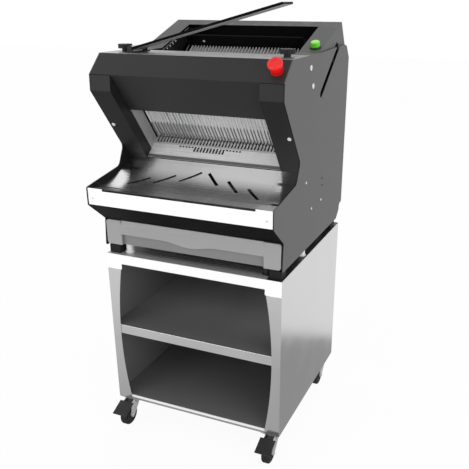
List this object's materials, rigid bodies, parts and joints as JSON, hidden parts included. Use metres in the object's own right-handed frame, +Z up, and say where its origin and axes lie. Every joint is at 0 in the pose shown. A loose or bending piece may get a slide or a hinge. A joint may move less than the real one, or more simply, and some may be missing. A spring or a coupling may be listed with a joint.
{
  "type": "bread slicer on a wheeled stand",
  "caption": "Bread slicing machine with a loading hopper, reciprocating blades and crumb drawer, on an open stainless stand with braked swivel casters.",
  "frame": {"origin": "centre of the overall footprint, on the floor", "axes": "+Z up, +X to the user's right, -Y towards the user in front of the tray"},
  "size_m": [0.605, 0.671, 1.3876],
  "materials": {
    "stainless": "fine brushed",
    "dark_sheet": "satin black coat",
    "grey_sheet": "satin dark grey coat",
    "zinc_steel": "bright zinc plate",
    "caster_tread": "matt",
    "black_plastic": "fine grain",
    "foot_rubber": "matt",
    "white_plastic": "smooth",
    "drawer_plastic": "smooth satin",
    "blade_steel": "bright",
    "frame_steel": "machined",
    "motor_cast": "cast, coated",
    "belt_rubber": "matt",
    "pusher_alloy": "black anodised",
    "stop_red": "smooth",
    "start_green": "smooth",
    "flap_black": "satin"
  },
  "bodies": {
    "frame": {"stand_side_left": "stainless", "stand_side_right": "stainless", "stand_top_plate": "stainless", "middle_shelf": "stainless", "bottom_shelf": "stainless", "slice_tray": "stainless", "exit_chute": "stainless", "hood_top_strip": "stainless", "stand_back_panel": "dark_sheet", "base_pan": "dark_sheet", "hood_front": "dark_sheet", "post_left": "dark_sheet", "post_right": "dark_sheet", "apron": "dark_sheet", "side_panel_left": "grey_sheet", "side_panel_right": "grey_sheet", "rear_cover": "grey_sheet", "loaf_chute": "grey_sheet", "caster_plates": "zinc_steel", "caster_bolts": "zinc_steel", "panel_screws": "zinc_steel", "blade_comb": "black_plastic", "button_collars": "black_plastic", "power_inlet": "black_plastic", "machine_feet": "foot_rubber", "levelling_feet": "white_plastic", "guide_rods": "blade_steel", "rod_blocks": "frame_steel", "bearing_blocks": "frame_steel", "flap_hinge": "frame_steel", "motor": "motor_cast", "control_box": "motor_cast", "drive_belt": "belt_rubber"},
    "caster_fl": {"caster_fork_fl": "zinc_steel"},
    "caster_fr": {"caster_fork_fr": "zinc_steel"},
    "caster_rl": {"caster_fork_rl": "zinc_steel"},
    "caster_rr": {"caster_fork_rr": "zinc_steel"},
    "wheel_fl": {"caster_wheel_fl": "caster_tread"},
    "wheel_fr": {"caster_wheel_fr": "caster_tread"},
    "wheel_rl": {"caster_wheel_rl": "caster_tread"},
    "wheel_rr": {"caster_wheel_rr": "caster_tread"},
    "pedal_left": {"brake_pedal_left": "black_plastic"},
    "pedal_right": {"brake_pedal_right": "black_plastic"},
    "drawer": {"crumb_drawer": "stainless", "drawer_front": "drawer_plastic"},
    "front_blades": {"blade_frame_front": "frame_steel", "blade_set_front": "blade_steel", "connecting_rod_front": "frame_steel"},
    "rear_blades": {"blade_frame_rear": "frame_steel", "blade_set_rear": "blade_steel", "connecting_rod_rear": "frame_steel"},
    "crank": {"crank_shaft": "frame_steel"},
    "rotor": {"motor_pulley": "frame_steel"},
    "pusher": {"pusher_plate": "pusher_alloy", "pusher_rod": "pusher_alloy"},
    "flap": {"hold_down_flap": "flap_black"},
    "stop": {"stop_button": "stop_red"},
    "start": {"start_button": "start_green"},
    "knob_left": {"clamp_knob_left": "black_plastic"},
    "knob_right": {"clamp_knob_right": "black_plastic"}
  },
  "joints": [
    {"name": "caster_fl_swivel", "type": "hinge", "parent": "frame", "child": "caster_fl", "pos_m": [-0.266, -0.2305, 0.098], "axis": [0, 0, 1], "continuous": true},
    {"name": "wheel_fl_spin", "type": "hinge", "parent": "caster_fl", "child": "wheel_fl", "pos_m": [-0.266, -0.2685, 0.0375], "axis": [1, 0, 0], "continuous": true},
    {"name": "caster_fr_swivel", "type": "hinge", "parent": "frame", "child": "caster_fr", "pos_m": [0.266, -0.2305, 0.098], "axis": [0, 0, 1], "continuous": true},
    {"name": "wheel_fr_spin", "type": "hinge", "parent": "caster_fr", "child": "wheel_fr", "pos_m": [0.266, -0.2685, 0.0375], "axis": [1, 0, 0], "continuous": true},
    {"name": "caster_rl_swivel", "type": "hinge", "parent": "frame", "child": "caster_rl", "pos_m": [-0.266, 0.2755, 0.098], "axis": [0, 0, 1], "continuous": true},
    {"name": "wheel_rl_spin", "type": "hinge", "parent": "caster_rl", "child": "wheel_rl", "pos_m": [-0.266, 0.2375, 0.0375], "axis": [1, 0, 0], "continuous": true},
    {"name": "caster_rr_swivel", "type": "hinge", "parent": "frame", "child": "caster_rr", "pos_m": [0.266, 0.2755, 0.098], "axis": [0, 0, 1], "continuous": true},
    {"name": "wheel_rr_spin", "type": "hinge", "parent": "caster_rr", "child": "wheel_rr", "pos_m": [0.266, 0.2375, 0.0375], "axis": [1, 0, 0], "continuous": true},
    {"name": "pedal_left_press", "type": "hinge", "parent": "caster_fl", "child": "pedal_left", "pos_m": [-0.266, -0.2445, 0.0807], "axis": [1, 0, 0], "range_deg": [0, 8]},
    {"name": "pedal_right_press", "type": "hinge", "parent": "caster_fr", "child": "pedal_right", "pos_m": [0.266, -0.2445, 0.0807], "axis": [1, 0, 0], "range_deg": [0, 8]},
    {"name": "drawer_slide", "type": "slide", "parent": "frame", "child": "drawer", "axis": [0, -1, 0], "range_m": [0, 0.26]},
    {"name": "front_blades_slide", "type": "slide", "parent": "frame", "child": "front_blades", "axis": [0, -0.6046, 0.7965], "range_m": [-0.01, 0.01]},
    {"name": "rear_blades_slide", "type": "slide", "parent": "frame", "child": "rear_blades", "axis": [0, -0.6046, 0.7965], "range_m": [-0.01, 0.01]},
    {"name": "crank_spin", "type": "hinge", "parent": "frame", "child": "crank", "pos_m": [0, 0.1126, 0.78383], "axis": [1, 0, 0], "continuous": true},
    {"name": "rotor_spin", "type": "hinge", "parent": "frame", "child": "rotor", "pos_m": [0, 0.2405, 0.759], "axis": [1, 0, 0], "continuous": true},
    {"name": "pusher_slide", "type": "slide", "parent": "frame", "child": "pusher", "axis": [0, -0.7965, -0.6046], "range_m": [0, 0.21]},
    {"name": "flap_swing", "type": "hinge", "parent": "frame", "child": "flap", "pos_m": [-0.215, -0.1395, 1.261], "axis": [0, -1, 0], "range_deg": [-12, 60]},
    {"name": "stop_press", "type": "slide", "parent": "frame", "child": "stop", "axis": [0, 0.6814, -0.7319], "range_m": [0, 0.005], "stiffness_N_per_m": 600},
    {"name": "start_press", "type": "slide", "parent": "frame", "child": "start", "axis": [0, 0.3212, -0.947], "range_m": [0, 0.004], "stiffness_N_per_m": 500},
    {"name": "knob_left_turn", "type": "hinge", "parent": "frame", "child": "knob_left", "pos_m": [-0.257, -0.1395, 1.254], "axis": [0, 0, 1], "continuous": true},
    {"name": "knob_right_turn", "type": "hinge", "parent": "frame", "child": "knob_right", "pos_m": [0.257, -0.1395, 1.254], "axis": [0, 0, 1], "continuous": true}
  ],
  "couplings": [
    {"joint": "rear_blades_slide", "follows": "front_blades_slide", "ratio": -1},
    {"joint": "rotor_spin", "follows": "crank_spin", "ratio": 2}
  ]
}
